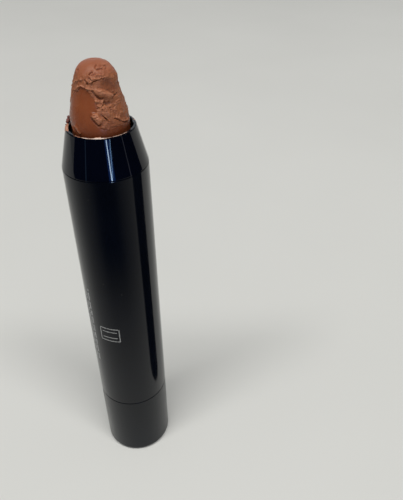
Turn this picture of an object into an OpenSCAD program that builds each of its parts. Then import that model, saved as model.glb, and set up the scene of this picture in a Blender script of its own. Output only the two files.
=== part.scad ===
// Twist-up cosmetic crayon: turning the tail knob drives a two-start spiral sleeve,
// which lifts a pinned cup and its bullet along a slotted guide tube.
// Z runs up the axis. Z = 0 is the flat end of the tail knob.

/* [Barrel] */
// Outside diameter of the barrel
barrel_d = 13; // [12.6:0.1:15]
// Length of the barrel, from the knob joint to the shoulder
barrel_len = 49.7; // [48:0.1:64]
// Wall of the barrel tube
barrel_wall = 0.6; // [0.55:0.05:0.65]

/* [Nose] */
// Height of the conical nose above the shoulder
nose_h = 5.95; // [5.5:0.05:7]
// Outside diameter of the nose at its mouth
mouth_d = 10.14; // [10.1:0.02:10.6]
// Depth that the nose skirt reaches into the barrel
skirt_len = 4; // [3:0.25:5]

/* [Tail knob] */
// Height of the tail knob
knob_h = 15.6; // [15:0.1:20]
// Rounding of the knob's bottom edge
knob_round = 0.85; // [0.4:0.05:1]
// Gap between the knob and the barrel
knob_gap = 0.1; // [0.1:0.05:0.3]

/* [Spiral drive] */
// Rise of the cup for one turn of the knob
pitch = 6; // [5:0.5:8]
// Diameter of the two drive pins on the cup
pin_d = 1.3; // [1:0.1:1.4]
// Axial height of each spiral groove
groove_h = 1.6; // [1.6:0.05:1.8]
// Steps that one turn of the groove is divided into
steps_per_turn = 20; // [16:2:24]

/* [Bullet] */
// Height of the bullet's tip above the mouth
bullet_out = 9.15; // [2:0.05:12]
// Length of bullet left above its cup
bullet_len = 21.55; // [18:0.05:24]

/* [Hidden] */
$fn = 96;
eps = 0.01;

// Radii, from the outside in
r_body = barrel_d / 2;
r_bore = r_body - barrel_wall;      // barrel bore
r_sleeve = r_bore - 0.1;            // outside of the spiral sleeve
r_thread = r_sleeve - 0.3;          // bottom of the spiral groove
r_sleeve_in = r_sleeve - 0.75;      // bore of the spiral sleeve
r_guide = r_sleeve_in - 0.1;        // outside of the guide tube
r_guide_in = r_guide - 0.5;         // bore of the guide tube
r_cup = r_guide_in - 0.15;          // outside of the cup
r_cup_in = r_cup - 0.5;             // pocket in the cup
r_bullet = r_cup - 0.05;            // bullet
r_pin_end = r_thread - 0.2;         // far end of a drive pin
r_mouth = mouth_d / 2;
r_mouth_in = r_mouth - 0.45;
r_spigot = r_bore - 0.6;            // tail of the sleeve, in the bush
r_drive = r_spigot - 0.75;          // ribbed end of the sleeve, in the knob core
rib_r = r_spigot - 0.25;            // tips of the drive ribs

// Heights
z_barrel = knob_h + knob_gap;
z_shoulder = knob_h + barrel_len;
z_mouth = z_shoulder + nose_h;
z_guide_top = z_mouth - 1.5;
z_skirt = z_shoulder - skirt_len;
z_sleeve_top = z_skirt - 0.3;
z_step = knob_h + 8.6;              // shoulder inside and outside the sleeve
z_ring = z_barrel + 1.15;           // drag ring, at the foot of the barrel
z_tip = z_mouth + bullet_out;
z_cup_top = z_tip - bullet_len;
pin_z = z_cup_top - 7.5;
pin_lo = z_step + 2.3;              // lowest and highest the pins travel
pin_hi = z_sleeve_top - 1.5;
slot_w = pin_d + 0.3;

module tube(r1, r2, z1, z2) {
    translate([0, 0, z1]) difference() {
        cylinder(r = r1, h = z2 - z1);
        translate([0, 0, -1]) cylinder(r = r2, h = z2 - z1 + 2);
    }
}

// Solid of revolution from [radius, height] points
module turned(points) rotate_extrude() polygon(points);

// Keys that stick out from a round piece, at both ends of the Y axis
module keys(r1, r2, w, z1, z2) {
    for (s = [-1, 1])
        translate([-w / 2, s > 0 ? r1 : -r2, z1]) cube([w, r2 - r1, z2 - z1]);
}

// Straight ribs evenly spaced round the axis
module ribs(n, r1, r2, w, z1, z2) {
    for (i = [0:n - 1])
        rotate([0, 0, i * 360 / n]) translate([r1, -w / 2, z1]) cube([r2 - r1, w, z2 - z1]);
}

// Plan of one turn of groove cutter: two sectors, one for each pin
module groove_plan() {
    half = 180 * groove_h / pitch;
    for (a = [0, 180])
        polygon(concat(
            [for (i = [0:6]) let (t = a - half + 2 * half * i / 6) [r_thread * cos(t), r_thread * sin(t)]],
            [for (t = [a + half, a - half]) [(r_sleeve_in - 0.7) * cos(t), (r_sleeve_in - 0.7) * sin(t)]]));
}

// Outer tube that is held in use
module barrel() {
    color("#202124") difference() {
        turned([[r_bore, z_barrel], [r_body - 0.06, z_barrel], [r_body, z_barrel + 0.06],
                [r_body, z_shoulder - 0.12], [r_body - 0.04, z_shoulder - 0.03], [r_body - 0.12, z_shoulder],
                [r_bore, z_shoulder]]);
        keys(r_bore - 0.2, r_bore + 0.3, 1.54, z_skirt + 0.5, z_shoulder + 1);
    }
}

// Glossy conical front with the mouth, its skirt pressed into the barrel
module nose_cone() {
    color("#0b0c10") difference() {
        union() {
            turned([[r_guide, z_skirt], [r_bore - 0.2, z_skirt], [r_bore, z_skirt + 0.4], [r_bore, z_shoulder],
                    [r_body - 0.12, z_shoulder], [r_body - 0.02, z_shoulder + 0.06], [r_body - 0.02, z_shoulder + 0.14],
                    [r_mouth + 0.02, z_mouth - 0.16], [r_mouth - 0.04, z_mouth - 0.05], [r_mouth - 0.14, z_mouth],
                    [r_mouth_in + 0.1, z_mouth], [r_mouth_in, z_mouth - 0.1], [r_mouth_in, z_guide_top],
                    [r_guide, z_guide_top]]);
            keys(r_bore - 0.2, r_bore + 0.25, 1.5, z_skirt + 0.6, z_shoulder + eps);
        }
        keys(r_guide - 0.2, r_guide + 0.38, 1.24, z_skirt - 1, z_mouth - 4);
    }
}

// Slotted tube fixed in the nose: it stops the cup from turning
module guide_tube() {
    color("#2a2a2c") difference() {
        union() {
            tube(r_guide, r_guide_in, z_step + 0.4, z_guide_top);
            keys(r_guide - 0.2, r_guide + 0.34, 1.2, z_skirt + 0.4, z_mouth - 4.1);
        }
        translate([-r_guide - 1, -slot_w / 2, pin_lo - slot_w / 2 - 0.2])
            cube([2 * r_guide + 2, slot_w, pin_hi - pin_lo + slot_w + 0.4]);
    }
}

// Plain bush pressed into the foot of the barrel: the sleeve's tail turns in it
module tail_bush() {
    color("#e6e4dd") turned([[r_spigot + 0.05, z_ring + 1.1], [r_bore - 0.15, z_ring + 1.1],
        [r_bore, z_ring + 1.3], [r_bore, z_step - 0.1], [r_spigot + 0.05, z_step - 0.1]]);
}

// Rotating sleeve with the two-start spiral inside and a ribbed tail
module spiral_sleeve() {
    z0 = pin_lo - groove_h;
    h = z_sleeve_top + 1 - z0;
    color("#eceae4") difference() {
        union() {
            turned([[r_cup_in - 0.4, 4], [r_drive - 0.25, 4], [r_drive, 4.4], [r_drive, 11.6],
                    [r_drive + 0.14, 11.8], [r_drive + 0.14, 12.4], [r_drive, 12.6], [r_drive, knob_h - 1.2],
                    [r_spigot, knob_h - 1.2], [r_spigot, z_ring - 0.66], [r_spigot - 0.65, z_ring - 0.66],
                    [r_spigot - 0.65, z_ring + 0.66], [r_spigot, z_ring + 0.66], [r_spigot, z_step],
                    [r_sleeve, z_step], [r_sleeve, z_sleeve_top], [r_sleeve_in, z_sleeve_top],
                    [r_sleeve_in, z_step + 0.25], [r_cup_in - 0.4, z_step + 0.25]]);
            ribs(6, r_drive - 0.3, rib_r, 1, 5, 11);
        }
        translate([0, 0, z0]) rotate([0, 0, 360 * (pin_z - z0) / pitch])
            linear_extrude(height = h, twist = 360 * h / pitch, slices = ceil(h / pitch * steps_per_turn), convexity = 8, $fn = 12)
                groove_plan();
    }
}

// Liner pressed into the knob: it grips the ribbed tail of the sleeve
module knob_core() {
    color("#3a3b3e") difference() {
        turned([[r_drive + 0.02, 1.3], [r_bore - 0.25, 1.3], [r_bore, 1.6], [r_bore, knob_h - 1.3],
                [r_drive + 0.02, knob_h - 1.3], [r_drive + 0.02, 12.7], [r_drive + 0.17, 12.5], [r_drive + 0.17, 11.7],
                [r_drive + 0.02, 11.5]]);
        ribs(6, r_drive - 0.3, rib_r + 0.05, 1.08, 1, 11.1);
    }
}

// Outer shell that is turned by hand, closed at its foot
module tail_knob() {
    // the wall leans in by 0.02 towards the foot, so that it leaves the mould
    a = [for (i = [0:6]) [r_body - 0.03 - knob_round + knob_round * sin(i * 15), knob_round - knob_round * cos(i * 15)]];
    color("#26282a") turned(concat([[0, 0.25], [4.62, 0.25], [4.7, 0]], a,
        [[r_body - 0.01, knob_h - 0.08], [r_body - 0.09, knob_h], [r_bore, knob_h], [r_bore, 1.3], [0, 1.3]]));
}

// Silicone ring in the sleeve's tail groove: its drag keeps the bullet where it is set
module drag_o_ring() {
    color("#b9463a") translate([0, 0, z_ring]) rotate_extrude() translate([r_bore - 0.63, 0]) circle(r = 0.6, $fn = 48);
}

// Round shade label in the recess under the knob
module end_label() {
    color("#8f5038") translate([0, 0, 0.11]) cylinder(r = 4.5, h = 0.14);
}

// Cup that grips the foot of the bullet and carries the two drive pins
module bullet_cup() {
    color("#f0eee8") union() {
        turned([[0, pin_z - 1.5], [r_cup - 0.3, pin_z - 1.5], [r_cup, pin_z - 1.2], [r_cup, z_cup_top],
                [r_cup_in, z_cup_top], [r_cup_in, pin_z + 1], [0, pin_z + 1]]);
        for (a = [0, 180]) rotate([0, 0, a])
            translate([r_cup - 0.8, 0, pin_z]) rotate([0, 90, 0]) cylinder(d = pin_d, h = r_pin_end - r_cup + 0.8, $fn = 48);
    }
}

// Moulded stick of colour, worn to a blunt dome
module bullet() {
    z = z_mouth + 0.6;
    k = (z_tip - z) / 8.55;
    color("#9a5138") turned([[0, pin_z + 1], [r_cup_in, pin_z + 1], [r_cup_in, z_cup_top], [r_bullet, z_cup_top],
        [r_bullet, z], [r_bullet - 0.12, z + 1.1 * k], [r_bullet - 0.38, z + 2.2 * k], [r_bullet - 0.74, z + 3.4 * k],
        [r_bullet - 1.06, z + 4.5 * k], [r_bullet - 1.22, z + 5.5 * k], [r_bullet - 1.36, z + 6.4 * k],
        [r_bullet - 1.58, z + 7.05 * k], [r_bullet - 1.97, z + 7.6 * k], [r_bullet - 2.5, z + 8.08 * k],
        [r_bullet - 3.1, z + 8.36 * k], [r_bullet - 3.72, z + 8.51 * k], [0, z_tip]]);
}

barrel();
nose_cone();
guide_tube();
tail_bush();
spiral_sleeve();
knob_core();
tail_knob();
drag_o_ring();
end_label();
bullet_cup();
bullet();
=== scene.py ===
import math

import bpy
import numpy as np
from mathutils import Matrix, Vector


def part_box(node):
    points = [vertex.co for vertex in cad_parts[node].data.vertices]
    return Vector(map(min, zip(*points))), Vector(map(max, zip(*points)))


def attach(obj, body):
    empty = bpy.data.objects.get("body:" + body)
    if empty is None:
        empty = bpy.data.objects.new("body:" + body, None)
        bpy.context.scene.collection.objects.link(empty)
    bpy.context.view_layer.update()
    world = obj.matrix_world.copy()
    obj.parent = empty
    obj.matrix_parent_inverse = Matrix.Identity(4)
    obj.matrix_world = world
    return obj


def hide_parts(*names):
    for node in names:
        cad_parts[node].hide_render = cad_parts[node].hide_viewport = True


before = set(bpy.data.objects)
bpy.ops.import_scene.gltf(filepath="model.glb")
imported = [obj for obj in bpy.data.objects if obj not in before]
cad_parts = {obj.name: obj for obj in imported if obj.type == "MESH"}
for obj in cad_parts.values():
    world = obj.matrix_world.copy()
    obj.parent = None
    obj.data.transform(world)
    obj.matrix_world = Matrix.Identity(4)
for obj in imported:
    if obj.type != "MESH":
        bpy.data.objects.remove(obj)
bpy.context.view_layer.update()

MM = 0.001

# ---------------------------------------------------------------- places, from the CAD
R_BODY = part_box("barrel")[1].x                  # barrel radius
Z_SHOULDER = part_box("barrel")[1].z              # barrel meets nose
Z_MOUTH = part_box("nose_cone")[1].z              # rim of the nose
Z_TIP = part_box("bullet")[1].z                   # tip of the bullet
R_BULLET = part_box("bullet")[1].x
Z_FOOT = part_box("bullet")[0].z
Z_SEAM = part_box("tail_knob")[1].z


# ---------------------------------------------------------------- camera
def make_camera():
    unit = R_BODY
    right = Vector((0.99995838, -0.00547215, -0.0073))
    up = Vector((0.00912329, 0.59977504, 0.80011666))
    ahead = Vector((0.0, 0.80014996, -0.5998))
    shoulder = Vector((0, 0, Z_SHOULDER))
    place = shoulder + right * 2.2157 * unit - up * 2.0478 * unit - ahead * 12.2424 * unit
    data = bpy.data.cameras.new("camera")
    data.sensor_width = 36
    data.lens = 529.21 * 36 / 500
    data.clip_start = 0.002
    data.clip_end = 20
    cam = bpy.data.objects.new("camera", data)
    turn = Matrix((right, up, -ahead)).transposed().to_4x4()
    cam.matrix_world = Matrix.Translation(place) @ turn
    bpy.context.scene.collection.objects.link(cam)
    bpy.context.scene.camera = cam
    return place


CAM = make_camera()


# ---------------------------------------------------------------- helpers
def lattice(ix, iy, iz, seed):
    h = (ix.astype(np.int64) * 73856093) ^ (iy.astype(np.int64) * 19349663) ^ (iz.astype(np.int64) * 83492791) ^ (seed * 2654435761)
    h = (h ^ (h >> 13)) * 1274126177
    h = h ^ (h >> 16)
    return (h & 0xFFFFFF).astype(np.float64) / float(0xFFFFFF)


def noise3(p, scale, seed):
    """Smooth value noise, -1 to 1, on points p (n, 3)."""
    q = p / scale
    i = np.floor(q).astype(np.int64)
    f = q - i
    f = f * f * f * (f * (f * 6 - 15) + 10)
    total = 0
    for a in (0, 1):
        for b in (0, 1):
            for c in (0, 1):
                w = (f[:, 0] if a else 1 - f[:, 0]) * (f[:, 1] if b else 1 - f[:, 1]) * (f[:, 2] if c else 1 - f[:, 2])
                total = total + w * lattice(i[:, 0] + a, i[:, 1] + b, i[:, 2] + c, seed)
    return total * 2 - 1


def fbm(p, scale, octaves, seed, gain=0.5):
    total, amp, norm = 0, 1.0, 0
    for k in range(octaves):
        total = total + amp * noise3(p + 17.3 * k, scale / 2 ** k, seed + k)
        norm += amp
        amp *= gain
    return total / norm


def cells3(p, scale, seed):
    """Distances to the nearest and second nearest of a field of scattered points, in units of scale."""
    q = p / scale
    base = np.floor(q).astype(np.int64)
    one, two = np.full(len(p), 9.0), np.full(len(p), 9.0)
    for a in (-1, 0, 1):
        for b in (-1, 0, 1):
            for c in (-1, 0, 1):
                i = base + np.array([a, b, c])
                x = i[:, 0] + lattice(i[:, 0], i[:, 1], i[:, 2], seed)
                y = i[:, 1] + lattice(i[:, 0], i[:, 1], i[:, 2], seed + 1)
                z = i[:, 2] + lattice(i[:, 0], i[:, 1], i[:, 2], seed + 2)
                d = np.sqrt((q[:, 0] - x) ** 2 + (q[:, 1] - y) ** 2 + (q[:, 2] - z) ** 2)
                two = np.where(d < one, one, np.minimum(two, d))
                one = np.minimum(one, d)
    return one, two


def smooth(a, b, x):
    t = np.clip((x - a) / (b - a), 0, 1)
    return t * t * (3 - 2 * t)


def link(obj):
    bpy.context.scene.collection.objects.link(obj)
    return obj


def grid_mesh(name, points, closed=False, keep=None):
    """A mesh from points (rows, columns, 3) in metres. closed joins the last column to the first."""
    rows, cols = points.shape[:2]
    mesh = bpy.data.meshes.new(name)
    r = np.arange(rows - 1)
    c = np.arange(cols if closed else cols - 1)
    rr, cc = np.meshgrid(r, c, indexing="ij")
    nxt = (cc + 1) % cols
    quads = np.stack([rr * cols + cc, rr * cols + nxt, (rr + 1) * cols + nxt, (rr + 1) * cols + cc], -1).reshape(-1, 4)
    if keep is not None:
        quads = quads[keep.reshape(-1)]
    verts = points.reshape(-1, 3)
    used = np.unique(quads)
    remap = np.full(len(verts), -1)
    remap[used] = np.arange(len(used))
    verts, quads = verts[used], remap[quads]
    mesh.vertices.add(len(verts))
    mesh.vertices.foreach_set("co", verts.astype(np.float32).ravel())
    mesh.loops.add(len(quads) * 4)
    mesh.loops.foreach_set("vertex_index", quads.astype(np.int32).ravel())
    mesh.polygons.add(len(quads))
    mesh.polygons.foreach_set("loop_start", np.arange(0, len(quads) * 4, 4, dtype=np.int32))
    mesh.polygons.foreach_set("use_smooth", np.ones(len(quads), dtype=bool))
    mesh.update(calc_edges=True)
    mesh.validate()
    obj = link(bpy.data.objects.new(name, mesh))
    return obj, used


class Mat:
    """A node material with a few short-hands."""

    def __init__(self, name, **sockets):
        self.m = bpy.data.materials.new(name)
        self.m.use_nodes = True
        self.t = self.m.node_tree
        self.b = self.t.nodes["Principled BSDF"]
        self.out = self.t.nodes["Material Output"]
        self.coord = self.t.nodes.new("ShaderNodeTexCoord").outputs["Object"]
        for k, v in sockets.items():
            self.b.inputs[k.replace("_", " ")].default_value = v

    def add(self, kind, **props):
        n = self.t.nodes.new("ShaderNode" + kind)
        for k, v in props.items():
            setattr(n, k, v)
        return n

    def put(self, source, target):
        self.t.links.new(source, target)

    def stretch(self, scale, where=None):
        n = self.add("Mapping")
        n.inputs["Scale"].default_value = scale
        self.put(where or self.coord, n.inputs["Vector"])
        return n.outputs["Vector"]

    def noise(self, scale, detail=3.0, rough=0.5, where=None, distortion=0.0):
        n = self.add("TexNoise")
        n.inputs["Scale"].default_value = scale
        n.inputs["Detail"].default_value = detail
        n.inputs["Roughness"].default_value = rough
        n.inputs["Distortion"].default_value = distortion
        self.put(where or self.coord, n.inputs["Vector"])
        return n.outputs["Fac"]

    def cells(self, scale, where=None, feature="F1"):
        n = self.add("TexVoronoi", feature=feature)
        n.inputs["Scale"].default_value = scale
        self.put(where or self.coord, n.inputs["Vector"])
        return n.outputs["Distance"]

    def ramp(self, fac, stops, mode="LINEAR"):
        n = self.add("ValToRGB")
        n.color_ramp.interpolation = mode
        e = n.color_ramp.elements
        while len(e) < len(stops):
            e.new(0.5)
        for k, (pos, col) in enumerate(stops):
            e[k].position = pos
            e[k].color = (*col, 1) if len(col) == 3 else col
        self.put(fac, n.inputs["Fac"])
        return n.outputs["Color"]

    def span(self, value, a, b, c, d):
        n = self.add("MapRange")
        for k, v in zip(("From Min", "From Max", "To Min", "To Max"), (a, b, c, d)):
            n.inputs[k].default_value = v
        self.put(value, n.inputs["Value"])
        return n.outputs["Result"]

    def math(self, op, x, y=None):
        n = self.add("Math", operation=op)
        for k, v in enumerate((x, y)):
            if v is None:
                continue
            if isinstance(v, (int, float)):
                n.inputs[k].default_value = v
            else:
                self.put(v, n.inputs[k])
        return n.outputs[0]

    def mix(self, fac, x, y, blend="MIX"):
        n = self.add("Mix", data_type="RGBA", blend_type=blend)
        for s, v in ((n.inputs[0], fac), (n.inputs[6], x), (n.inputs[7], y)):
            if isinstance(v, (int, float)):
                s.default_value = v
            elif isinstance(v, tuple):
                s.default_value = (*v, 1)
            else:
                self.put(v, s)
        return n.outputs[2]

    def attribute(self, name):
        return self.add("Attribute", attribute_name=name).outputs["Fac"]

    def color(self, source):
        self.put(source, self.b.inputs["Base Color"])

    def rough(self, source):
        self.put(source, self.b.inputs["Roughness"])

    def bump(self, height, strength, distance, under=None):
        n = self.add("Bump")
        n.inputs["Strength"].default_value = strength
        n.inputs["Distance"].default_value = distance
        self.put(height, n.inputs["Height"])
        if under is not None:
            self.put(under, n.inputs["Normal"])
        self.put(n.outputs["Normal"], self.b.inputs["Normal"])
        return n.outputs["Normal"]


def dress(obj, mat):
    obj.data.materials.clear()
    obj.data.materials.append(mat.m)


# ---------------------------------------------------------------- materials of the hard parts
def black_plastic(name, base, rough_lo, rough_hi, speck=0.5, scratch=0.02, shine=0.4):
    """Moulded black plastic: smudges in its gloss, fine rub marks and a few specks of dust."""
    m = Mat(name, Metallic=0.0, IOR=1.5, Specular_IOR_Level=shine)
    smudge = m.noise(220, 4, 0.6)
    fine = m.noise(2600, 2, 0.5, m.stretch((1.0, 1.0, 0.22)))
    blend = m.math("ADD", m.math("MULTIPLY", smudge, 0.75), m.math("MULTIPLY", fine, 0.25))
    m.rough(m.span(blend, 0.35, 0.68, rough_lo, rough_hi))
    dust = m.cells(850)
    sparse = m.noise(300, 2, 0.5)
    dot = m.math("MULTIPLY", m.math("LESS_THAN", dust, 0.075), m.math("GREATER_THAN", sparse, 0.56))
    tone = m.ramp(m.noise(90, 3, 0.5), [(0.3, base), (0.75, tuple(c * 1.8 + 0.0002 for c in base))])
    m.color(m.mix(m.math("MULTIPLY", dot, speck), tone, (0.055, 0.055, 0.053)))
    rub = m.noise(900, 5, 0.65, m.stretch((1.0, 1.0, 0.06)))
    m.bump(rub, scratch, 0.00003)
    return m


nose_black = black_plastic("nose_gloss_black", (0.0004, 0.0009, 0.0036), 0.03, 0.065, 0.2, 0.03, 0.36)
barrel_black = black_plastic("barrel_satin_gloss_black", (0.0008, 0.0015, 0.0038), 0.075, 0.14, 0.6, 0.05, 0.26)
knob_black = black_plastic("knob_satin_black", (0.0013, 0.0024, 0.0050), 0.19, 0.28, 0.5, 0.08, 0.24)


def moulded(name, low, high, roughness, grain=1500):
    """Unpainted engineering plastic with a faint flow pattern and a fine matt grain."""
    m = Mat(name, Metallic=0.0, IOR=1.48)
    m.color(m.ramp(m.noise(160, 4, 0.55, m.stretch((1, 1, 0.3))), [(0.3, low), (0.72, high)]))
    m.rough(m.span(m.noise(grain, 3), 0.3, 0.7, roughness - 0.06, roughness + 0.06))
    m.bump(m.noise(grain * 2.2, 2), 0.12, 0.00002)
    return m


guide_black = moulded("guide_black_acetal", (0.016, 0.016, 0.018), (0.028, 0.028, 0.03), 0.42)
core_grey = moulded("core_dark_grey", (0.03, 0.031, 0.034), (0.05, 0.052, 0.056), 0.5)
acetal = moulded("white_acetal", (0.68, 0.665, 0.62), (0.8, 0.785, 0.745), 0.38)
acetal_cup = moulded("cup_white_plastic", (0.7, 0.69, 0.65), (0.82, 0.81, 0.775), 0.42)
silicone = moulded("red_silicone", (0.33, 0.03, 0.022), (0.46, 0.05, 0.035), 0.55, 2200)


def label_material():
    m = Mat("shade_label", Metallic=0.0, IOR=1.5)
    fibre = m.noise(1800, 4, 0.6)
    m.color(m.ramp(fibre, [(0.3, (0.24, 0.075, 0.037)), (0.7, (0.31, 0.1, 0.05))]))
    m.rough(m.span(m.noise(700, 3), 0.3, 0.7, 0.34, 0.48))
    m.bump(fibre, 0.1, 0.00002)
    return m


shade_label = label_material()

for node, mat in (
    ("barrel", barrel_black), ("nose_cone", nose_black), ("guide_tube", guide_black), ("tail_bush", acetal),
    ("spiral_sleeve", acetal), ("knob_core", core_grey), ("tail_knob", knob_black), ("drag_o_ring", silicone),
    ("end_label", shade_label), ("bullet_cup", acetal_cup),
):
    dress(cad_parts[node], mat)


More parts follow.
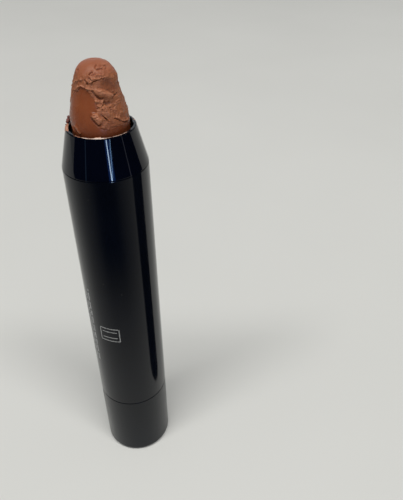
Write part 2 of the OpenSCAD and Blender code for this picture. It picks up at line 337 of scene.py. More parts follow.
# ---------------------------------------------------------------- the worn bullet
# Lips and cracks: points as (angle in degrees, height above the mouth in mm), height and width in mm, and
# which side of the line falls away gently: 1 the left, -1 the right, 0 neither.
STROKES = [
    ([(-67.1, 8.85), (-74.1, 8.73), (-75.6, 8.6), (-70.9, 8.4), (-63.5, 8.38), (-54.7, 8.43), (-46.5, 8.43)], -0.17, 0.09, 0),
    ([(-52.1, 8.69), (-44.5, 8.74), (-36.3, 8.73), (-26.8, 8.64), (-26.1, 8.5), (-29.8, 8.37), (-38.2, 8.35)], -0.12, 0.08, 0),
    ([(-72.7, 8.55), (-66.3, 8.53), (-59.3, 8.55), (-51.7, 8.56)], 0.09, 0.12, 0),
    ([(-94.5, 7.84), (-93.3, 7.98), (-91.4, 8.07), (-87.7, 8.11)], -0.22, 0.1, 0),
    ([(-86.6, 7.82), (-82.9, 7.86), (-78.9, 7.94)], -0.15, 0.09, 0),
    ([(-99.4, 8.06), (-97.9, 7.88), (-96.3, 7.73), (-91.6, 7.59), (-86.1, 7.44), (-80.4, 7.46)], 0.15, 0.1, 0),
    ([(-93.3, 7.02), (-86.5, 7.21), (-80.8, 7.31), (-75.6, 7.39), (-70.5, 7.39), (-64.4, 7.46), (-56.9, 7.49), (-52.6, 7.56)], 0.2, 0.07, 1),
    ([(-93.4, 6.93), (-86.7, 7.09), (-81.1, 7.19), (-76.5, 7.27), (-70.9, 7.27), (-65, 7.34), (-57.1, 7.37)], -0.10, 0.09, 0),
    ([(-79.5, 7.77), (-74.6, 7.81), (-68.5, 7.81), (-63.6, 7.8), (-59, 7.73)], 0.13, 0.09, 0),
    ([(-61.3, 7.85), (-59.5, 7.82)], -0.09, 0.09, 0),
    ([(-109.5, 7.23), (-105.8, 7.07), (-101.9, 6.82)], -0.15, 0.1, 0),
    ([(-103.4, 7.34), (-99.9, 7.17), (-96.7, 7.01), (-93.1, 7.06)], 0.13, 0.1, 0),
    ([(-96.3, 7.47), (-91.7, 7.44)], -0.1, 0.08, 0),
    ([(-128.4, 7.7), (-126.8, 7.51)], -0.06, 0.1, 0),
    ([(-152.4, 8.09), (-144.9, 8.19)], -0.22, 0.12, 0),
    ([(-151.2, 7.24), (-148.4, 7.01)], -0.2, 0.1, 0),
    ([(-144.1, 6.91), (-130.9, 7.13), (-120.2, 7.26), (-112, 7.22)], 0.16, 0.08, 1),
    ([(-33.3, 6.83), (-29.2, 6.33), (-22.6, 5.77)], 0.1, 0.2, 0),
    ([(-122.8, 6.36), (-125.9, 6.16), (-131.7, 5.79), (-138, 5.5)], -0.2, 0.09, 0),
    ([(-147, 5.58), (-138.7, 5.88), (-132.4, 6.14), (-126, 6.37), (-120.5, 6.47), (-114, 6.45), (-108.7, 6.38)], 0.2, 0.07, 1),
    ([(-150.5, 5.5), (-153.9, 5.29), (-156.8, 5), (-154.7, 4.76)], -0.24, 0.1, 0),
    ([(-160, 7.0), (-156, 6.5), (-158, 6.0)], -0.2, 0.1, 0),
    ([(-146, 6.7), (-155, 6.25), (-163, 5.75)], 0.17, 0.1, -1),
    ([(-104.3, 6.32), (-98.9, 6.25), (-95.5, 6.18), (-92.1, 6.13), (-87.4, 6.22)], 0.17, 0.08, 1),
    ([(-100.3, 6.02), (-97.5, 5.82), (-95.6, 5.66)], -0.15, 0.09, 0),
    ([(-94, 6.53), (-90.6, 6.41), (-87.9, 6.32)], -0.11, 0.08, 0),
    ([(-89.4, 5.97), (-86.8, 5.76), (-83.6, 5.55), (-80.6, 5.36), (-77.6, 5.15), (-74, 4.99), (-70.4, 4.89), (-66.5, 4.92)], -0.22, 0.14, 0),
    ([(-43.6, 4.7), (-41.6, 4.74), (-37.3, 4.83), (-31.9, 4.92), (-22.8, 4.97)], -0.22, 0.12, 0),
    ([(-76.7, 6.33), (-63.6, 6.21), (-55.2, 6), (-46.8, 5.67), (-39.9, 5.14)], -0.11, 0.13, 0),
    ([(-19, 4.12), (-28.2, 4.12), (-35.4, 4.02), (-39.6, 3.92)], 0.14, 0.08, 1),
    ([(-23.5, 4.02), (-29.3, 3.99), (-33.5, 3.97)], -0.12, 0.07, 0),
    ([(-28, 3.85), (-34.8, 3.71), (-40.1, 3.45), (-40.7, 3.17)], 0.1, 0.08, -1),
    ([(-38.1, 3.75), (-42.1, 3.64), (-45.3, 3.53)], -0.10, 0.08, 0),
    ([(-29, 2.64), (-32.8, 2.42), (-37.3, 2.15), (-41.9, 2.02), (-45.3, 2.16)], 0.13, 0.09, -1),
    ([(-36, 2.67), (-36.6, 2.5)], -0.07, 0.08, 0),
    ([(-49.3, 2.25), (-44.1, 2.17), (-40.3, 1.98), (-36.6, 1.72), (-31.3, 1.45), (-24.6, 1.26), (-17.6, 1.16), (-7.5, 1.01)], 0.13, 0.07, 1),
    ([(-50.3, 2.12), (-45.7, 2.07), (-40.9, 1.85), (-38.3, 1.62), (-33.2, 1.33), (-25.3, 1.12), (-14.7, 0.94)], -0.12, 0.07, 0),
    ([(-62.9, 4.45), (-65.2, 4.21), (-68.3, 4.01), (-70.8, 3.83)], -0.15, 0.09, 0),
    ([(-84.5, 4.69), (-81.5, 4.57), (-78.5, 4.5), (-74.4, 4.52), (-68.5, 4.35)], 0.13, 0.09, 1),
    ([(-83.3, 4.38), (-81.9, 4.15), (-80.9, 3.98)], -0.09, 0.07, 0),
    ([(-80.2, 4.08), (-77.5, 3.95), (-73.7, 3.87), (-70.5, 3.97)], 0.12, 0.08, 1),
    ([(-80.8, 3.72), (-77.6, 3.76)], -0.12, 0.08, 0),
    ([(-80.4, 3.47), (-76.8, 3.39), (-72, 3.42)], 0.09, 0.08, 1),
    ([(-69.4, 3.65), (-66.1, 3.43), (-61.7, 3.27), (-57.8, 2.96)], 0.11, 0.12, 1),
    ([(-72, 3.76), (-70.5, 3.57), (-71.5, 3.24)], -0.09, 0.08, 0),
    ([(-50.9, 3.34), (-53.5, 3.15), (-53, 2.9)], -0.07, 0.08, 0),
    ([(-95.1, 2.73), (-91.4, 2.91), (-86.6, 3.06), (-83.7, 3.07), (-81.6, 2.84), (-80.2, 2.6)], 0.13, 0.09, 0),
    ([(-93.4, 2.43), (-91, 2.19), (-88.3, 1.91), (-84.8, 1.68), (-80.6, 1.44)], -0.22, 0.12, 0),
    ([(-71.8, 2.69), (-69.5, 2.57), (-67.2, 2.41), (-65, 2.22), (-62.7, 2.03), (-60.6, 1.88)], -0.34, 0.08, 0),
    ([(-71.7, 2.81), (-68.4, 2.66), (-65.3, 2.45), (-62.2, 2.21), (-59.3, 2)], 0.1, 0.07, -1),
    ([(-59, 0.96), (-54.1, 1.04), (-49.2, 1.04)], -0.09, 0.08, 0),
    ([(-35.1, 2.25), (-31.1, 2.22), (-27.4, 2.09)], -0.07, 0.07, 0),
    ([(-143, 0.9), (-141, 0.46), (-138, 0.09)], 0.14, 0.12, 0),
    ([(-133.8, 1.04), (-129.5, 0.83), (-126.8, 0.51), (-123.5, 0.12)], 0.18, 0.11, 1),
    ([(-136.8, 0.75), (-133.4, 0.42), (-130.2, 0.1)], -0.12, 0.09, 0),
    ([(-91.5, 2.72), (-88.2, 2.74), (-85.6, 2.94)], 0.13, 0.09, -1),
    ([(-89.6, 2.5), (-86.4, 2.52), (-83.4, 2.66)], -0.13, 0.07, 0),
    ([(-86.6, 2.3), (-84.2, 2.5), (-81.6, 2.44), (-79.9, 2.2)], 0.12, 0.08, 1),
    ([(-85.8, 2.08), (-83.4, 1.86), (-81.2, 1.76)], 0.13, 0.1, 1),
    ([(-83.8, 2.24), (-81.5, 2.06), (-79.8, 2.0)], -0.13, 0.07, 0),
    ([(-82.6, 1.5), (-80.2, 1.56), (-78.2, 1.74)], -0.16, 0.09, 0),
    # round the back
    ([(170, 5.2), (158, 5.9), (143, 5.7), (128, 6.2), (112, 6.0), (98, 6.4)], 0.16, 0.1, -1),
    ([(168, 5.0), (156, 5.65), (142, 5.45), (127, 5.95), (112, 5.75)], -0.12, 0.1, 0),
    ([(88, 4.2), (74, 4.6), (60, 4.3), (44, 4.7), (28, 4.5)], 0.15, 0.1, -1),
    ([(52, 6.6), (66, 6.9), (82, 6.8), (97, 7.2)], -0.14, 0.1, 0),
    ([(120, 3.1), (108, 3.4), (95, 3.2)], -0.16, 0.1, 0),
]
# Lumps and hollows: (angle, height above the mouth), half-length, half-width, tilt in degrees, height.
STAMPS = [
    ((-66.7, 5.69), 1.15, 0.5, -20, 0.42),
    ((-47.2, 5.13), 0.55, 0.36, -30, 0.36),
    ((-83.9, 2.52), 0.85, 0.4, -42, 0.3),
    ((-78.7, 2.24), 0.4, 0.34, 0, 0.12),
    ((-46.8, 6.74), 0.95, 0.62, 0, -0.32),
    ((-36.8, 6.03), 0.6, 0.6, 0, -0.1),
    ((-56.5, 4.22), 0.46, 0.28, 0, -0.28),
    ((-60.5, 4.51), 0.3, 0.2, 0, -0.08),
    ((-101.6, 6.82), 0.15, 0.14, 0, -0.16),
    ((-62.8, 2.95), 0.7, 0.26, -15, 0.12),
    ((-27.8, 2.89), 0.9, 0.8, 0, 0.07),
    ((-84.6, 8.23), 0.35, 0.22, 20, -0.06),
    ((-92.7, 7.66), 0.5, 0.35, -20, 0.05),
    ((70, 5.6), 1.1, 0.5, 15, 0.26),
    ((140, 4.2), 0.6, 0.4, -10, 0.2),
    ((25, 3.4), 0.5, 0.45, 0, 0.18),
    ((112, 6.9), 0.9, 0.45, 10, -0.16),
]
# Outline of the flank that is still smooth, in the same (angle, height) terms.
FLANK = [(-190, 3.4), (-176, 3.3), (-166.2, 3.5), (-153.7, 4.74), (-132.2, 5.76), (-121.2, 6.27), (-107.5, 6.3), (-101.5, 5.98), (-95.3, 5.63),
         (-88.9, 5.18), (-85.5, 4.78), (-84, 4.38), (-82.6, 3.93), (-82.7, 3.42), (-86.5, 3.15), (-94.3, 2.86), (-95.4, 2.51),
         (-90.9, 1.92), (-84.8, 1.46), (-76.3, 1), (-63.6, 0.92), (-54.3, 0.95), (-44.1, 0.97), (-27.4, 0.67), (-11.8, 0.49), (20, 1.2),
         (45, 2.4), (70, 1.9), (95, 3.0), (120, 2.4), (150, 3.2), (170, 3.4), (170, -3), (-190, -3)]

TIP = (Z_TIP - Z_MOUTH) / MM          # tip's height above the mouth, in mm
RB = R_BULLET / MM


def profile():
    """The bullet's outline above the mouth as dense (radius, height) points in mm, evenly spaced along it."""
    pts = [(RB, -0.6), (RB, 0.4), (RB - 0.03, 0.9), (RB - 0.15, 1.75), (RB - 0.4, 2.85), (RB - 0.75, 4.0), (RB - 1.07, 5.1),
           (RB - 1.22, 6.1), (RB - 1.36, 7.0), (RB - 1.57, 7.65), (RB - 1.94, 8.2), (RB - 2.44, TIP - 0.45), (RB - 3.02, TIP - 0.17),
           (RB - 3.66, TIP - 0.01), (0.0, TIP + 0.03)]
    p = np.array(pts)
    # Catmull-Rom through the points
    ext = np.vstack([2 * p[0] - p[1], p, [-p[-2][0], p[-2][1]]])
    out = []
    for i in range(1, len(ext) - 2):
        t = np.linspace(0, 1, 40, endpoint=False)[:, None]
        a, b, c, d = ext[i - 1], ext[i], ext[i + 1], ext[i + 2]
        out.append(0.5 * (2 * b + (c - a) * t + (2 * a - 5 * b + 4 * c - d) * t ** 2 + (3 * b - a - 3 * c + d) * t ** 3))
    q = np.vstack(out + [p[-1:]])
    s = np.concatenate([[0], np.cumsum(np.hypot(*np.diff(q, axis=0).T))])
    return q, s


def to_line(u, v, ax, ay, bx, by):
    dx, dy = bx - ax, by - ay
    t = np.clip(((u - ax) * dx + (v - ay) * dy) / (dx * dx + dy * dy + 1e-12), 0, 1)
    return np.hypot(u - ax - t * dx, v - ay - t * dy)


def lip(u, v, line, width, lean):
    """1 along a line, falling to 0 within the width. With a lean, one side falls away slowly."""
    near = np.full(u.shape, 1e9)
    side, over = np.zeros(u.shape), np.zeros(u.shape)
    last = len(line) - 2
    for k, ((ax, ay), (bx, by)) in enumerate(zip(line, line[1:])):
        dx, dy = bx - ax, by - ay
        long = math.hypot(dx, dy) + 1e-9
        t = ((u - ax) * dx + (v - ay) * dy) / long ** 2
        c = np.clip(t, 0, 1)
        d = np.hypot(u - ax - c * dx, v - ay - c * dy)
        past = (np.maximum(-t, 0) if k == 0 else 0) + (np.maximum(t - 1, 0) if k == last else 0)
        closer = d < near
        near = np.where(closer, d, near)
        side = np.where(closer, np.sign(dx * (v - ay) - dy * (u - ax)), side)
        over = np.where(closer, past * long, over)
    even = np.exp(-(near / width) ** 2)
    if not lean:
        return even
    slow = np.exp(-(near / (3.4 * width)) ** 1.4)
    quick = np.exp(-(near / (0.75 * width)) ** 2)
    shaped = np.where(side * lean > 0, slow, quick)
    ends = smooth(0.0, 1.5 * width, over)
    return shaped * (1 - ends) + even * ends


def inside(u, v, poly):
    """Signed distance to a polygon, positive inside."""
    best = np.full(u.shape, 1e9)
    flip = np.zeros(u.shape, bool)
    for (ax, ay), (bx, by) in zip(poly, poly[1:] + poly[:1]):
        best = np.minimum(best, to_line(u, v, ax, ay, bx, by))
        if ay != by:
            flip ^= ((ay > v) != (by > v)) & (u < (bx - ax) * (v - ay) / (by - ay) + ax)
    return np.where(flip, best, -best)


def make_bullet():
    cols = 520
    q, s = profile()
    rows = 400
    even = np.linspace(0, s[-1], rows)
    r, z = np.interp(even, s, q[:, 0]), np.interp(even, s, q[:, 1])
    dr, dz = np.gradient(r, even), np.gradient(z, even)
    norm = np.hypot(dr, dz)
    nr, nz = dz / norm, -dr / norm
    ang = np.linspace(-np.pi, np.pi, cols, endpoint=False)
    A, Rr = np.meshgrid(ang, r, indexing="xy")
    Zz = np.repeat(z[:, None], cols, 1)
    P = np.stack([Rr * np.cos(A), Rr * np.sin(A), Zz], -1)
    N = np.stack([nr[:, None] * np.cos(A), nr[:, None] * np.sin(A), np.repeat(nz[:, None], cols, 1)], -1)
    flat = P.reshape(-1, 3)
    deg = np.degrees(A).reshape(-1)
    hgt = Zz.reshape(-1)
    rad = Rr.reshape(-1)
    # the features are placed on a slightly warped surface, so no edge of theirs is clean
    wu = 0.10 * fbm(flat, 0.9, 2, 11) + 0.10 * fbm(flat, 0.30, 3, 12, 0.6)
    wv = 0.10 * fbm(flat, 0.9, 2, 21) + 0.10 * fbm(flat, 0.30, 3, 22, 0.6)
    disp = np.zeros(len(flat))
    ring = np.maximum(rad, 1.2)

    def local(a0, sel):
        d = (deg[sel] - a0 + 180) % 360 - 180
        return np.radians(d) * ring[sel] + 0.6 * wu[sel], hgt[sel] + 0.6 * wv[sel]

    # how torn the surface is: the smear lies over everything but the flank and the top of the dome
    arc = np.radians(deg) * 3.7 + wu * 2.2
    poly = [(math.radians(a) * 3.7, h) for a, h in FLANK]
    edge = inside(arc, hgt + wv * 2.2, poly)
    poly_back = [(a + 2 * math.pi * 3.7, h) for a, h in poly]
    edge = np.maximum(edge, inside(arc, hgt + wv * 2.2, poly_back))
    smear = 1 - smooth(-0.10, 0.10, edge)
    dome = smooth(7.3, 8.0, hgt + 0.5 * fbm(flat, 1.5, 2, 5))
    hollow = np.exp(-((((deg + 46) * math.pi / 180 * 3.2) / 1.2) ** 2 + ((hgt - 6.6) / 0.75) ** 2) ** 2)
    # shade: a spot of painted shade at the lower right of the hollow; it and the hollow are painted darker through the
    # relief colour below
    shade = np.exp(-((((deg + 33) * math.pi / 180 * 3.1) / 0.75) ** 2 + ((hgt - 5.85) / 0.5) ** 2) ** 1.5)
    rough = smear * (1 - 0.8 * dome) * (1 - 0.75 * hollow)
    rough = rough * (0.35 + 0.65 * smooth(-0.3, 0.25, fbm(flat, 1.6, 2, 44)))
    near_rim = smooth(0.2, 0.9, hgt)
    disp += 0.032 * smear * near_rim
    twist = flat + 0.9 * np.stack([wu, wv, wu - wv], -1)
    ridge = 1 - np.abs(noise3(twist, 0.85, 36)) * 2.2
    ridge_fine = 1 - np.abs(noise3(twist + 5, 0.36, 37)) * 2.2
    disp += rough * (0.06 * fbm(flat, 1.3, 3, 33, 0.5) + 0.030 * fbm(flat, 0.36, 3, 34, 0.65))
    disp += rough * (0.030 * ridge + 0.028 * ridge_fine * smooth(-0.2, 0.3, ridge) + 0.016 * fbm(flat, 0.14, 2, 35))
    # overlapping flakes: small plateaus with crisp edges
    level = (fbm(flat + 0.25 * np.stack([wu, wv, wu], -1) / 0.1, 1.15, 3, 51, 0.55)) * 4.2
    step = level - np.floor(level)
    disp += rough * 0.034 * (np.floor(level) + smooth(0.44, 0.56, step))
    # cracks between flakes, and crumbs on them
    warped = flat + np.stack([wu, wv, -wu], -1) * 1.2
    one, two = cells3(warped * np.array([1, 1, 1.25]), 0.62, 81)
    disp -= rough * 0.05 * np.exp(-((two - one) / 0.11) ** 2) * smooth(-0.15, 0.35, fbm(flat, 0.9, 2, 83))
    crumbs = smooth(0.22, 0.50, fbm(flat, 0.26, 2, 61)) * smooth(0.12, 0.5, rough)
    disp += 0.032 * crumbs
    disp += 0.008 * fbm(flat, 0.4, 3, 71) + 0.03 * fbm(flat, 3.4, 2, 72)
    wrinkled = smooth(-98, -66, deg) * (1 - smooth(60, 100, deg)) * smooth(7.3, 7.9, hgt) * (1 - smooth(8.7, 9.05, hgt))
    disp += wrinkled * (0.036 * fbm(twist, 0.42, 3, 73, 0.6) + 0.030 * (1 - np.abs(noise3(twist + 9, 0.5, 74)) * 2.4))
    # faint drag marks on the dome and the flank
    drag = fbm(np.stack([deg * 0.06, hgt * 0.25, hgt * 0.0], -1) * 3.0, 1.0, 3, 93)
    disp += 0.006 * drag * smooth(0.4, 1.2, hgt) * smooth(0.6, 1.6, rad)
    # more of the same tearing round the back, where nothing guides it
    rng = np.random.default_rng(21)
    more, lumps = [], []
    for k in range(20):
        a, h = rng.uniform(8, 172), rng.uniform(2.6, 6.6)
        turn, bend, long = rng.uniform(0, math.pi), rng.uniform(-0.8, 0.8), rng.uniform(0.25, 0.6)
        pts = [(a, h)]
        for _ in range(3):
            a, h = a + math.degrees(long * math.cos(turn) / 3.4), h + 0.8 * long * math.sin(turn)
            turn += bend
            pts.append((a, h))
        up = rng.random() < 0.5
        more.append((pts, rng.uniform(0.09, 0.16) if up else -rng.uniform(0.08, 0.2), rng.uniform(0.07, 0.1), (1 if rng.random() < 0.5 else -1) if up else 0))
    for k in range(7):
        lumps.append(((rng.uniform(10, 170), rng.uniform(2.8, 6.2)), rng.uniform(0.35, 0.9), rng.uniform(0.22, 0.4), rng.uniform(-50, 50), rng.uniform(-0.14, 0.2)))
    for pts, height, width, lean in STROKES + more:
        a0 = pts[len(pts) // 2][0]
        mid_h = float(np.mean([h for _, h in pts]))
        reach = 0.5 * (max(h for _, h in pts) - min(h for _, h in pts)) + 8 * width + 0.5
        mean_r = float(np.interp(mid_h, z, r))
        span = np.array([(a - a0 + 180) % 360 - 180 for a, _ in pts])
        far = np.abs(span).max() + math.degrees((8 * width + 0.5) / max(mean_r, 1.2))
        sel = np.flatnonzero((np.abs(hgt - mid_h) < reach) & (np.abs((deg - a0 + 180) % 360 - 180) < far))
        u, v = local(a0, sel)
        scale = mean_r / ring[sel]
        u = u * np.where(scale > 1, scale, 1)
        line = [(math.radians((a - a0 + 180) % 360 - 180) * mean_r, h) for a, h in pts]
        ragged = np.clip(0.8 + 0.9 * fbm(flat[sel], 0.33, 3, int(abs(a0) * 3) + 7, 0.6), 0.15, 1.4)
        disp[sel] += height * ragged * lip(u, v, line, width, lean)
    for (a0, h0), la, lb, tilt, height in STAMPS + lumps:
        size = 2.2 * max(la, lb) + 0.3
        mean_r = max(float(np.interp(h0, z, r)), 1.2)
        sel = np.flatnonzero((np.abs(hgt - h0) < size) & (np.abs((deg - a0 + 180) % 360 - 180) < math.degrees(size / mean_r) + 10))
        u, v = local(a0, sel)
        v = v - h0
        c, sn = math.cos(math.radians(tilt)), math.sin(math.radians(tilt))
        x, y = u * c + v * sn, -u * sn + v * c
        d = (x / la) ** 2 + (y / lb) ** 2
        disp[sel] += height * np.exp(-d ** 1.6) * (0.88 + 0.24 * fbm(flat[sel], 0.5, 3, int(abs(a0)) + 91, 0.6))
    # calm towards the pole and down inside the nose
    calm = smooth(0.0, 0.5, rad) * smooth(-0.4, 0.35, hgt)
    disp *= calm
    # the left side swells above and is worn away at the rim
    left = (deg % 360 - 180) / 34.0
    disp += np.exp(-left ** 2) * np.interp(hgt, [2.5, 3.5, 4.2, 4.8, 5.2, 5.5, 5.8, 6.15, 6.5, 6.9, 7.3, 7.7, 8.1],
                                           [0, 0.036, 0.11, 0.18, 0.21, 0.19, 0.04, -0.06, -0.115, -0.075, -0.067, -0.06, 0])
    right = ((deg + 180) % 360 - 180) / 30.0
    disp += np.exp(-right ** 2) * np.interp(hgt, [5.0, 5.4, 5.85, 6.15, 6.5, 6.9, 7.25, 7.7, 8.2], [0, -0.04, -0.10, -0.09, 0.03, 0.10, 0.11, 0.05, 0])
    disp -= 0.26 * np.exp(-left ** 2) * (1 - smooth(0.0, 1.9, hgt))
    disp = np.minimum(disp, 0.08 + 9.0 * smooth(0.2, 0.9, hgt))
    P = (flat + N.reshape(-1, 3) * disp[:, None]).reshape(rows, cols, 3)
    # a slow lean and a slight bow, as a used stick of wax has
    P[..., 0] += -0.08 + 0.14 * smooth(3.5, 7.5, P[..., 2])
    # nothing stands out so far that it would catch in the guide tube
    wide = np.hypot(P[..., 0], P[..., 1])
    P[..., :2] *= np.where(wide > 4.33, (4.33 + 0.07 * np.tanh((wide - 4.33) / 0.07)) / np.maximum(wide, 0.1), 1.0)[..., None]
    # down inside the cup
    low_z = (Z_FOOT - Z_MOUTH) / MM
    down = []
    for rr_, zz_ in ((0.02, low_z), (RB - 0.62, low_z), (RB - 0.56, low_z + 0.05), (RB - 0.56, low_z + 6.49), (RB - 0.5, low_z + 6.5),
                     (RB - 0.06, low_z + 6.5), (RB - 0.01, low_z + 6.56), (RB - 0.01, (low_z + 6.5) * 0.6), (RB - 0.01, -2.0)):
        down.append(np.stack([rr_ * np.cos(ang) - 0.0, rr_ * np.sin(ang), np.full(cols, zz_)], -1))
    P = np.concatenate([np.array(down), P], 0)
    relief = np.concatenate([np.zeros(len(down) * cols), disp])
    # what stands out from, or is sunk into, the surface round it: painted highlight on the first, painted shade in the
    # second, with the hollow and the shade spot painted darker too
    grid = disp.reshape(rows, cols)
    soft = grid.copy()
    for _ in range(3):
        k = 9
        pad = np.concatenate([soft[:, -k:], soft, soft[:, :k]], 1)
        cs = np.cumsum(np.pad(pad, ((0, 0), (1, 0))), 1)
        soft = (cs[:, 2 * k + 1:] - cs[:, :-2 * k - 1]) / (2 * k + 1)
        pad = np.pad(soft, ((k, k), (0, 0)), mode="edge")
        cs = np.cumsum(np.pad(pad, ((1, 0), (0, 0))), 0)
        soft = (cs[2 * k + 1:] - cs[:-2 * k - 1]) / (2 * k + 1)
    relief_light_shade = np.concatenate([np.zeros(len(down) * cols), np.clip((grid - soft).reshape(-1) / 0.16 - 0.6 * hollow - 0.7 * shade, -1, 1)])
    torn = np.concatenate([np.zeros(len(down) * cols), (smear * (0.45 + 0.55 * (1 - dome))).reshape(-1)])
    P = P * MM
    P[..., 2] += Z_MOUTH
    obj, used = grid_mesh("worn_bullet", P, closed=True)
    # painted top light: the top of the dome is painted lighter
    painted_top_light = np.concatenate([np.zeros(len(down) * cols), smooth(7.0, 8.5, hgt)])
    # painted shade: darker towards the rim and down inside the nose
    painted_rim_shade = np.concatenate([np.ones(len(down) * cols), 1 - smooth(0.2, 2.8, hgt)])
    for name, values in (("relief_light_shade", relief_light_shade * 0.5 + 0.5), ("torn", torn), ("painted_top_light", painted_top_light), ("painted_rim_shade", painted_rim_shade)):
        at = obj.data.attributes.new(name, "FLOAT", "POINT")
        at.data.foreach_set("value", values[used].astype(np.float32))
    return obj


def bullet_material():
    m = Mat("bullet_wax", Metallic=0.0, IOR=1.45, Specular_IOR_Level=0.34)
    relief_light_shade = m.attribute("relief_light_shade")
    torn = m.attribute("torn")
    cloud = m.noise(420, 4, 0.55)
    streak = m.noise(700, 4, 0.6, m.stretch((1.0, 1.0, 0.18)))
    calm = m.ramp(cloud, [(0.28, (0.220, 0.058, 0.0215)), (0.72, (0.272, 0.078, 0.0295))])
    smeared = m.ramp(m.noise(950, 5, 0.6), [(0.28, (0.272, 0.090, 0.039)), (0.75, (0.360, 0.132, 0.060))])
    base = m.mix(torn, calm, smeared)
    base = m.mix(m.span(streak, 0.5, 0.8, 0.0, 0.22), base, (0.30, 0.105, 0.05))
    # painted highlight on what stands out, painted shade in what is sunk
    high = m.span(relief_light_shade, 0.56, 0.88, 0.0, 0.55)
    low = m.span(relief_light_shade, 0.44, 0.10, 0.0, 0.45)
    # painted shade: the wax is mixed darker towards the rim
    base = m.mix(m.math("MULTIPLY", m.attribute("painted_rim_shade"), 0.7), base, (0.165, 0.040, 0.014))
    # painted top light: the top of the dome is mixed to a lighter colour
    painted_top_light = m.attribute("painted_top_light")
    base = m.mix(m.math("MULTIPLY", painted_top_light, 0.75), base, m.ramp(cloud, [(0.3, (0.325, 0.104, 0.051)), (0.7, (0.405, 0.142, 0.073))]))
    base = m.mix(high, base, (0.50, 0.205, 0.112))
    base = m.mix(low, base, (0.12, 0.030, 0.014))
    m.color(base)
    grain = m.span(m.noise(600, 4, 0.6), 0.3, 0.7, 0.40, 0.56)
    m.rough(m.math("MULTIPLY", grain, m.span(torn, 0.0, 0.4, 0.60, 1.0)))
    m.b.inputs["Subsurface Weight"].default_value = 0.12
    m.b.inputs["Subsurface Radius"].default_value = (0.9, 0.32, 0.16)
    m.b.inputs["Subsurface Scale"].default_value = 0.0005
    fine = m.math("ADD", m.math("MULTIPLY", m.noise(2400, 5, 0.6), 0.7), m.math("MULTIPLY", m.noise(6500, 3, 0.5), 0.3))
    first = m.bump(streak, 0.15, 0.00008)
    m.bump(fine, 0.40, 0.00006, first)
    return m


bullet = make_bullet()
wax = bullet_material()
dress(bullet, wax)
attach(bullet, "carriage")
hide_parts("bullet")


# ---------------------------------------------------------------- product left on the rim
def rim_outline():
    """Cross-section of the nose's rim from inside to outside, (radius, height above the mouth, normal) in mm."""
    r_out, r_in = 5.07, 4.62
    pts = [(r_in, -1.1), (r_in, -0.6), (r_in, -0.25), (r_in, -0.1), (r_in + 0.03, -0.03), (r_in + 0.1, 0.0), (r_in + 0.2, 0.0), (r_out - 0.14, 0.0),
           (r_out - 0.09, -0.02), (r_out - 0.04, -0.05), (r_out, -0.1), (r_out + 0.02, -0.16), (r_out + 0.055, -0.3), (r_out + 0.13, -0.6),
           (r_out + 0.2, -0.9)]
    p = np.array(pts)
    s = np.concatenate([[0], np.cumsum(np.hypot(*np.diff(p, axis=0).T))])
    e = np.linspace(0, s[-1], 44)
    q = np.stack([np.interp(e, s, p[:, 0]), np.interp(e, s, p[:, 1])], -1)
    d = np.gradient(q, axis=0)
    n = np.stack([-d[:, 1], d[:, 0]], -1)
    n /= np.linalg.norm(n, axis=1)[:, None]
    return q, n, e / s[-1]


def make_residue():
    q, n, e = rim_outline()
    cols = 900
    ang = np.linspace(-math.pi, math.pi, cols, endpoint=False)
    deg = np.degrees(ang)
    A, E = np.meshgrid(ang, e, indexing="xy")
    Q = np.repeat(q[:, None, :], cols, 1)
    Nn = np.repeat(n[:, None, :], cols, 1)
    P = np.stack([Q[..., 0] * np.cos(A), Q[..., 0] * np.sin(A), Q[..., 1]], -1)
    N = np.stack([Nn[..., 0] * np.cos(A), Nn[..., 0] * np.sin(A), Nn[..., 1]], -1)
    flat = P.reshape(-1, 3)
    D = np.repeat(deg[None], len(e), 0).reshape(-1)
    ee = E.reshape(-1)

    def lobe(centre, half, power=4):
        d = (D - centre + 180) % 360 - 180
        return np.exp(-np.abs(d / half) ** power)

    across = np.exp(-((ee - 0.56) / 0.06) ** 2)
    outer = np.exp(-((ee - 0.72) / 0.16) ** 2)
    slim = np.exp(-((ee - 0.55) / 0.036) ** 2)
    inner = np.exp(-((ee - 0.44) / 0.075) ** 2)
    cover = 0.60 * slim * lobe(-80, 58, 8) + 0.62 * across * lobe(-91, 20, 6) + 0.28 * across * lobe(-128, 16) + 0.32 * slim * lobe(-52, 20)
    cover += 0.95 * inner * lobe(-87, 7) + 0.5 * inner * lobe(-104, 4)
    cover += 1.1 * across * lobe(-170, 22) + 0.9 * outer * lobe(-172, 13) + 0.7 * np.exp(-((ee - 0.45) / 0.07) ** 2) * lobe(-172, 14)
    cover += 0.5 * across * lobe(35, 22) + 0.45 * across * lobe(120, 18)
    cover += 0.36 * fbm(flat, 0.8, 3, 301) + 0.34 * fbm(flat, 0.24, 3, 302) - 0.62
    thick = np.clip(cover, -0.2, 1.2)
    lumps = 0.5 + 0.5 * fbm(flat, 0.3, 3, 303)
    height = 0.008 + 0.05 * smooth(0.0, 0.9, thick) * (0.4 + lumps)
    height = np.where(cover > 0, height, -0.01)
    height = np.where(cover > 0.0, np.minimum(height, 0.012 + cover * 0.3), -0.012)
    height = height + 0.17 * (cover > 0) * inner * lobe(-86, 6) * np.clip(0.6 + fbm(flat, 0.2, 3, 305), 0.1, 1.3)
    P = (flat + N.reshape(-1, 3) * height[:, None]).reshape(P.shape) * MM
    P[..., 2] += Z_MOUTH
    c = (cover > 0).reshape(len(e), cols)
    keep = c[:-1] | c[1:]
    keep = keep | np.roll(keep, -1, 1)
    ok = np.zeros((len(e) - 1, cols), bool)
    ok[:] = keep
    obj, used = grid_mesh("rim_residue", P, closed=True, keep=ok)
    # painted highlight: where pale is high, the residue is painted whitish as a glint
    pale = np.clip(lobe(-94, 20, 6) * (1 - 1.3 * inner) + 0.75 * lobe(-52, 22) + 0.35 * fbm(flat, 0.5, 2, 304), 0, 1)
    at = obj.data.attributes.new("pale", "FLOAT", "POINT")
    at.data.foreach_set("value", pale[used].astype(np.float32))
    return obj


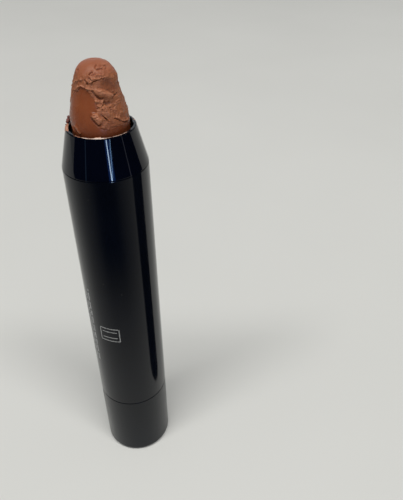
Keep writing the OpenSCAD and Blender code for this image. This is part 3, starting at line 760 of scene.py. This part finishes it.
def make_crumbs():
    """Loose crumbs of product caught on the left of the rim and under the torn edge."""
    rng = np.random.default_rng(9)
    import bmesh
    bm = bmesh.new()
    spots = [(168, 4.92, 0.26, 0.38), (165, 4.92, 0.60, 0.30), (172, 4.95, 0.12, 0.30), (174, 4.95, 0.08, 0.13), (-178, 5.0, 0.06, 0.10),
             (-150, 4.95, 0.05, 0.07), (-76, 4.9, 0.07, 0.10), (-64, 4.95, 0.06, 0.07), (-102, 4.88, 0.07, 0.08), (-120, 4.92, 0.06, 0.07)]
    for deg, rad, up, size in spots:
        made = bmesh.ops.create_icosphere(bm, subdivisions=3, radius=1.0)
        squash = np.array([1 + 0.35 * rng.standard_normal(), 1 + 0.2 * rng.standard_normal(), 0.8])
        squash = np.clip(squash, 0.85, 1.3)
        co = np.array([v.co for v in made["verts"]])
        d = 1 + 0.35 * fbm(co + rng.random(3) * 50, 0.8, 3, int(abs(deg)) + 400)
        co = co * d[:, None] * squash * size
        a = math.radians(deg)
        place = np.array([rad * math.cos(a), rad * math.sin(a), up])
        for v, c in zip(made["verts"], co):
            v.co = Vector((c + place) * MM) + Vector((0, 0, Z_MOUTH))
    mesh = bpy.data.meshes.new("rim_crumbs")
    bm.to_mesh(mesh)
    bm.free()
    for p in mesh.polygons:
        p.use_smooth = True
    return link(bpy.data.objects.new("rim_crumbs", mesh))


def residue_material():
    m = Mat("rim_residue_wax", Metallic=0.0, IOR=1.45)
    grain = m.noise(1500, 4, 0.6)
    copper = m.ramp(grain, [(0.3, (0.36, 0.13, 0.065)), (0.7, (0.66, 0.32, 0.19))])
    # painted highlight: the whitish colour is a glint painted on the residue
    glint_white = m.ramp(grain, [(0.3, (0.58, 0.40, 0.32)), (0.7, (0.84, 0.72, 0.65))])
    m.color(m.mix(m.attribute("pale"), copper, glint_white))
    m.rough(m.span(m.noise(900, 3), 0.3, 0.7, 0.30, 0.5))
    m.bump(m.noise(3200, 4, 0.6), 0.4, 0.00005)
    return m


def crumb_material():
    m = Mat("crumb_wax", Metallic=0.0, IOR=1.45)
    m.color(m.ramp(m.noise(1500, 4, 0.6), [(0.3, (0.11, 0.022, 0.018)), (0.7, (0.25, 0.08, 0.06))]))
    m.rough(m.span(m.noise(900, 3), 0.3, 0.7, 0.42, 0.6))
    m.bump(m.noise(3200, 4, 0.6), 0.5, 0.00005)
    return m


residue = make_residue()
dress(residue, residue_material())
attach(residue, "barrel_body")
crumbs = make_crumbs()
dress(crumbs, crumb_material())
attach(crumbs, "barrel_body")


# ---------------------------------------------------------------- generic print on the barrel
def ink_material():
    m = Mat("grey_ink", Metallic=0.0, IOR=1.5)
    m.color(m.ramp(m.noise(2600, 3, 0.6), [(0.3, (0.20, 0.205, 0.21)), (0.7, (0.37, 0.375, 0.38))]))
    m.rough(m.span(m.noise(1200, 3), 0.3, 0.7, 0.35, 0.5))
    m.bump(m.noise(4000, 2), 0.2, 0.00001)
    return m


def print_patch(boxes, name):
    """Thin ink bars on the barrel. boxes are (angle from, angle to, height from, height to) in degrees and mm."""
    verts, faces = [], []
    for a0, a1, h0, h1 in boxes:
        steps = max(2, int(abs(a1 - a0) / 1.5) + 1)
        first = len(verts)
        for k in range(steps):
            a = math.radians(a0 + (a1 - a0) * k / (steps - 1))
            for r in (R_BODY + 0.000012, R_BODY - 0.00002):
                for h in (h0, h1):
                    verts.append((r * math.cos(a), r * math.sin(a), h * MM))
        for k in range(steps - 1):
            i = first + 4 * k
            faces += [(i, i + 4, i + 5, i + 1), (i + 3, i + 7, i + 6, i + 2), (i + 2, i + 6, i + 4, i), (i + 1, i + 5, i + 7, i + 3)]
        e = first + 4 * (steps - 1)
        faces += [(first, first + 1, first + 3, first + 2), (e + 1, e, e + 2, e + 3)]
    mesh = bpy.data.meshes.new(name)
    mesh.from_pydata(verts, [], faces)
    mesh.update()
    return link(bpy.data.objects.new(name, mesh))


def make_print():
    rng = np.random.default_rng(4)
    boxes = []
    # three columns of short plain bars that read up the barrel
    for col, a in enumerate((-142.0, -148.6, -155.2)):
        h = 26.3 + 0.5 * col
        end = 43.6 - 1.1 * col
        while h < end:
            run = float(rng.uniform(0.5, 1.7))
            boxes.append((a, a + 3.6, h, min(h + run, end)))
            h += run + float(rng.uniform(0.28, 0.5))
    # a plain double frame, lying on its side
    a0, a1, h0, h1, w = -124.0, -91.0, 33.1, 36.2, 0.17
    dw = math.degrees(w / (R_BODY / MM))
    boxes += [(a0, a1, h0, h0 + w), (a0, a1, h1 - w, h1), (a0, a0 + dw, h0, h1), (a1 - dw, a1, h0, h1),
              (a0 + 4.5, a1 - 4.5, h0 + 0.8, h0 + 0.8 + w), (a0 + 4.5, a1 - 4.5, h1 - 0.8 - w, h1 - 0.8)]
    return print_patch(boxes, "print_bars")


ink = make_print()
dress(ink, ink_material())
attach(ink, "barrel_body")


# ---------------------------------------------------------------- floor and light
def make_floor():
    mesh = bpy.data.meshes.new("floor")
    mesh.from_pydata([(-2.5, -2.5, -3e-5), (2.5, -2.5, -3e-5), (2.5, 2.5, -3e-5), (-2.5, 2.5, -3e-5)], [], [(0, 1, 2, 3)])
    floor = link(bpy.data.objects.new("floor", mesh))
    m = Mat("floor_pale", Metallic=0.0, IOR=1.45)
    m.color(m.ramp(m.noise(9, 3, 0.5), [(0.3, (0.70, 0.703, 0.69)), (0.7, (0.73, 0.733, 0.72))]))
    m.b.inputs["Roughness"].default_value = 0.6
    m.b.inputs["Specular IOR Level"].default_value = 0.0
    m.bump(m.noise(500, 3), 0.03, 0.0001)
    dress(floor, m)


def reflected_only(obj):
    obj.visible_camera = False
    obj.visible_diffuse = False
    obj.visible_shadow = False
    obj.visible_transmission = False
    obj.visible_volume_scatter = False


def flag_material(name, alpha=None):
    m = bpy.data.materials.new(name)
    m.use_nodes = True
    t = m.node_tree
    t.nodes.clear()
    out = t.nodes.new("ShaderNodeOutputMaterial")
    black = t.nodes.new("ShaderNodeEmission")
    black.inputs["Color"].default_value = (0.012, 0.014, 0.02, 1)
    black.inputs["Strength"].default_value = 1.0
    if alpha is None:
        t.links.new(black.outputs[0], out.inputs["Surface"])
        return m
    clear = t.nodes.new("ShaderNodeBsdfTransparent")
    mix = t.nodes.new("ShaderNodeMixShader")
    t.links.new(clear.outputs[0], mix.inputs[1])
    t.links.new(black.outputs[0], mix.inputs[2])
    at = t.nodes.new("ShaderNodeAttribute")
    at.attribute_name = alpha
    t.links.new(at.outputs["Fac"], mix.inputs[0])
    t.links.new(mix.outputs[0], out.inputs["Surface"])
    return m


def make_flags():
    """Black studio flags that only reflections see: the room in front, and the dark column to the right."""
    # the dim room in front, as a curved wall
    a = np.radians(np.linspace(-172, -2, 60))
    ring = np.stack([0.42 * np.cos(a), 0.42 * np.sin(a)], -1)
    pts = np.stack([np.concatenate([ring, np.full((60, 1), z)], 1) for z in (0.002, 0.9)], 0)
    wall, _ = grid_mesh("flag_room", pts)
    wall.data.materials.append(flag_material("flag_black"))
    reflected_only(wall)
    # beyond its left end the room fades out
    turn = np.linspace(-228, -172, 40)
    a = np.radians(turn)
    ring = np.stack([0.42 * np.cos(a), 0.42 * np.sin(a)], -1)
    wing, used = grid_mesh("flag_wing", np.stack([np.concatenate([ring, np.full((40, 1), z)], 1) for z in (0.002, 0.9)], 0))
    fade = np.tile(np.interp(turn, [-228, -208, -193, -180, -172], [0, 0.22, 0.40, 0.36, 0.36]), 2)
    at = wing.data.attributes.new("fade", "FLOAT", "POINT")
    at.data.foreach_set("value", fade[used].astype(np.float32))
    wing.data.materials.append(flag_material("flag_wing_fading", "fade"))
    reflected_only(wing)
    # a black card that only reflections see, standing in for the shade lying on the table in front, fading in
    xs = np.linspace(-0.42, 0.42, 141)
    ys = np.linspace(-0.42, 0.02, 111)
    X, Y = np.meshgrid(xs, ys, indexing="xy")
    card, used = grid_mesh("flag_table", np.stack([X, Y, np.full_like(X, 0.0015)], -1))
    away = np.hypot(X, Y)
    turn = np.abs(np.degrees(np.arctan2(X, -Y)) - 1)
    fade = smooth(0.015, 0.082, away) * np.interp(turn, [14, 25, 37, 48, 62, 66, 75, 85, 100], [1, 0.94, 0.78, 0.64, 0.48, 0.42, 0.27, 0.12, 0])
    at = card.data.attributes.new("fade", "FLOAT", "POINT")
    at.data.foreach_set("value", fade.reshape(-1)[used].astype(np.float32))
    card.data.materials.append(flag_material("flag_fading", "fade"))
    reflected_only(card)
    # the dark column standing to the right
    a = np.linspace(0, 2 * math.pi, 64, endpoint=False)
    rows = []
    for r, z in ((0.0073, 0.0005), (0.0073, Z_SHOULDER), (0.0058, Z_MOUTH), (0.004, Z_TIP - 0.002), (0.0005, Z_TIP)):
        rows.append(np.stack([0.0281 + r * np.cos(a), -0.0021 + r * np.sin(a), np.full(64, z)], -1))
    column, _ = grid_mesh("flag_column", np.array(rows), closed=True)
    column.data.materials.append(flag_material("flag_column_black"))
    reflected_only(column)


def area(name, place, target, size_x, size_y, power, colour=(1, 1, 1), diffuse=True, glossy=True, lean=0.0):
    data = bpy.data.lights.new(name, "AREA")
    data.shape = "RECTANGLE"
    data.size, data.size_y = size_x, size_y
    data.energy = power
    data.color = colour
    lamp = link(bpy.data.objects.new(name, data))
    lamp.location = place
    lamp.rotation_euler = (Vector(target) - Vector(place)).to_track_quat("-Z", "Y").to_euler()
    lamp.rotation_euler.rotate_axis("Z", math.radians(lean))
    lamp.visible_diffuse = diffuse
    lamp.visible_glossy = glossy
    lamp.visible_camera = False
    return lamp


def make_light():
    world = bpy.data.worlds.new("studio")
    bpy.context.scene.world = world
    world.use_nodes = True
    back = world.node_tree.nodes["Background"]
    back.inputs["Color"].default_value = (0.93, 0.97, 1.0, 1)
    back.inputs["Strength"].default_value = 0.12
    # a long panel above and in front, whose shadow falls short and soft behind, and a broad one overhead
    area("panel_front", (0.0, -0.62, 1.7), (0, 0, 0), 2.1, 0.28, 31.5, (1.0, 0.99, 0.95))
    area("panel_top", (0.05, 0.12, 1.2), (0, 0, 0), 1.0, 0.9, 0.9, (1.0, 0.99, 0.95))
    # a pale card far behind, and slim strips in front: for reflections only
    area("card_back", (0.0, 1.3, 0.55), (0, 0, 0.1), 2.6, 1.1, 5.5, (0.85, 0.92, 1.0), diffuse=False)
    for name, turn, away, high, wide, long, lean, power, colour in (
        ("strip", 20.4, 0.400, 0.10, 0.017, 0.34, 0, 0.373, (0.60, 0.79, 1.0)),
        ("strip_slim", 24.6, 0.398, 0.066, 0.007, 0.13, -64, 0.026, (0.35, 0.62, 1.0)),
        ("strip_glow", 21.8, 0.405, 0.10, 0.105, 0.34, 0, 0.16, (0.06, 0.22, 1.0)),
        ("strip_left", -43.5, 0.405, 0.10, 0.016, 0.34, 0, 0.010, (0.35, 0.6, 1.0)),
        ("strip_right", 71.0, 0.405, 0.10, 0.016, 0.34, 0, 0.011, (0.8, 0.82, 1.0)),
    ):
        a = math.radians(-90 + turn)
        place = (away * math.cos(a), away * math.sin(a), high)
        area(name, place, (0, 0, high), wide, long, power, colour, diffuse=False, lean=lean)


make_floor()
make_flags()
make_light()
bpy.context.scene.view_settings.view_transform = "Standard"
